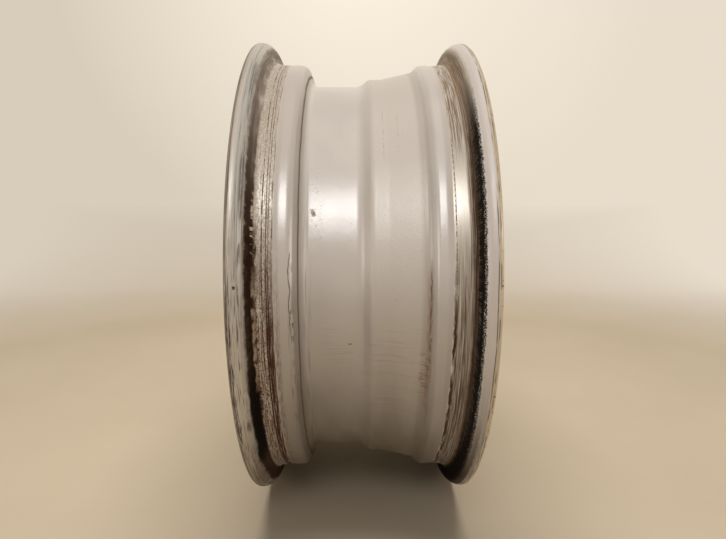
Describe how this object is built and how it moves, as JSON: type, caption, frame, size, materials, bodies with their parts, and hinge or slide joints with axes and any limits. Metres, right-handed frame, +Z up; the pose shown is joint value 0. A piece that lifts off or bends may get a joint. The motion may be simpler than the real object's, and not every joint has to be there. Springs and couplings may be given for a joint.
{
  "type": "wheel rim",
  "caption": "One-piece cast aluminium road wheel without its tyre, with drop centre, safety humps, bead flanges, spokes, hub bore and bolt holes.",
  "frame": {"origin": "on the wheel's axis, midway between the two bead flanges, which is also the middle of the wheel's bounding box", "axes": "+Y along the wheel's axis towards the car, so the styled face looks to -Y; +Z up, through the middle of one spoke; the wheel stands upright on its flanges with its lowest points at z = -0.2074 m"},
  "size_m": [0.4148, 0.1784, 0.4146],
  "materials": {
    "wheel_rim": "satin silver paint over cast aluminium, with turned bead seats and flanges, used and dirty"
  },
  "bodies": {
    "root": {"wheel_rim": "wheel_rim"}
  },
  "joints": []
}
